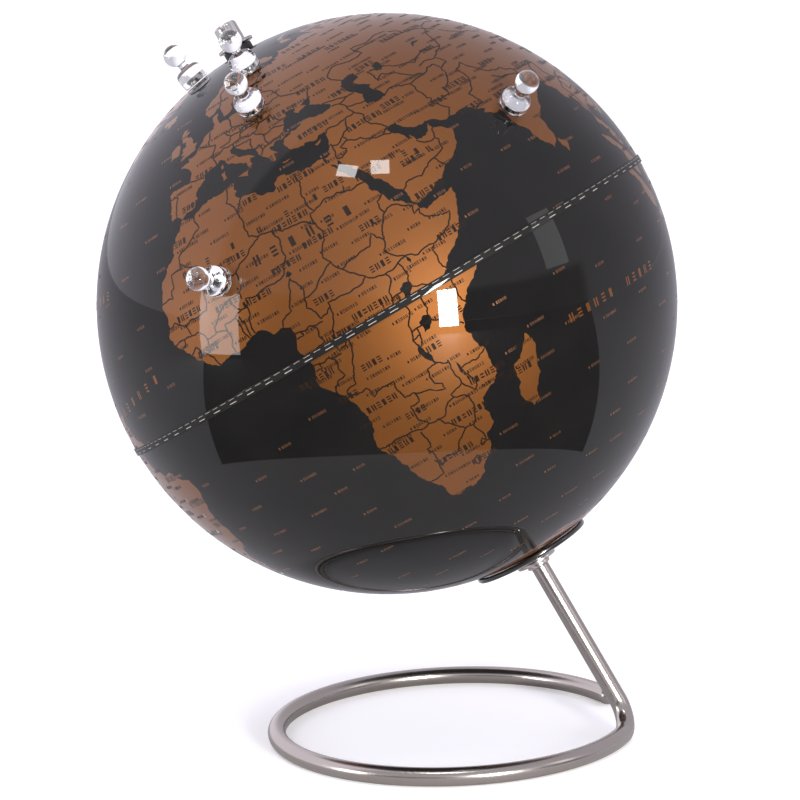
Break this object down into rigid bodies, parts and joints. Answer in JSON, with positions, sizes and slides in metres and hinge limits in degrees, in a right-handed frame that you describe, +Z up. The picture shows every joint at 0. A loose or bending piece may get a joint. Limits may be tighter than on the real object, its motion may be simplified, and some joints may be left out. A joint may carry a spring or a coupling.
{
  "type": "desktop globe",
  "caption": "Desk globe with a printed metal shell, turning on a leaning axle held by a stand bent from one round rod, with clear push-pin magnets.",
  "frame": {"origin": "centre of the stand's ring, on the table plane that the rod rests on", "axes": "+Z up from the table; +X from the ring's centre towards the foot of the stalk, so the polar axis leans in the XZ plane with its north end towards -X; +Y completes the right-handed frame"},
  "size_m": [0.25, 0.2587, 0.3159],
  "materials": {
    "satin_nickel_rod": "satin nickel plate over a drawn steel rod",
    "turned_steel": "plain turned steel",
    "satin_nickel_small": "satin nickel plate",
    "satin_nickel_cap": "satin nickel plate with fine lengthwise brushing",
    "black_gloss_plastic": "polished black plastic",
    "black_bearing": "moulded black plastic",
    "printed_steel": "black and copper print under gloss lacquer",
    "black_scale_band": "black band with a pale printed scale",
    "clear_acrylic": "clear polished acrylic",
    "nickel_magnet": "nickel-plated magnet"
  },
  "bodies": {
    "stand": {"stand_frame": "satin_nickel_rod", "axle_rod": "turned_steel", "lower_collar": "satin_nickel_small", "lower_flange_washer": "satin_nickel_small", "support_dish": "black_gloss_plastic", "top_flange_washer": "satin_nickel_small", "cap_nut": "satin_nickel_cap"},
    "globe": {"lower_bushing": "black_bearing", "south_hemisphere": "printed_steel", "north_hemisphere": "printed_steel", "equator_band": "black_scale_band", "upper_bushing": "black_bearing"},
    "pin_a": {"pin_a_grip": "clear_acrylic", "pin_a_magnet": "nickel_magnet"},
    "pin_b": {"pin_b_grip": "clear_acrylic", "pin_b_magnet": "nickel_magnet"},
    "pin_c": {"pin_c_grip": "clear_acrylic", "pin_c_magnet": "nickel_magnet"},
    "pin_d": {"pin_d_grip": "clear_acrylic", "pin_d_magnet": "nickel_magnet"},
    "pin_e": {"pin_e_grip": "clear_acrylic", "pin_e_magnet": "nickel_magnet"}
  },
  "joints": [
    {"name": "globe_spin", "type": "hinge", "parent": "stand", "child": "globe", "pos_m": [-0.02167, 0, 0.19095], "axis": [-0.4772, 0, 0.8788], "continuous": true},
    {"name": "pin_a_lift", "type": "slide", "parent": "globe", "child": "pin_a", "axis": [-0.6016, -0.1185, 0.79], "range_m": [0, 0.025]},
    {"name": "pin_b_lift", "type": "slide", "parent": "globe", "child": "pin_b", "axis": [-0.3456, -0.4195, 0.8394], "range_m": [0, 0.025]},
    {"name": "pin_c_lift", "type": "slide", "parent": "globe", "child": "pin_c", "axis": [-0.2815, -0.6269, 0.7265], "range_m": [0, 0.025]},
    {"name": "pin_d_lift", "type": "slide", "parent": "globe", "child": "pin_d", "axis": [0.5323, -0.4808, 0.6968], "range_m": [0, 0.025]},
    {"name": "pin_e_lift", "type": "slide", "parent": "globe", "child": "pin_e", "axis": [-0.3433, -0.9162, 0.2065], "range_m": [0, 0.025]}
  ]
}
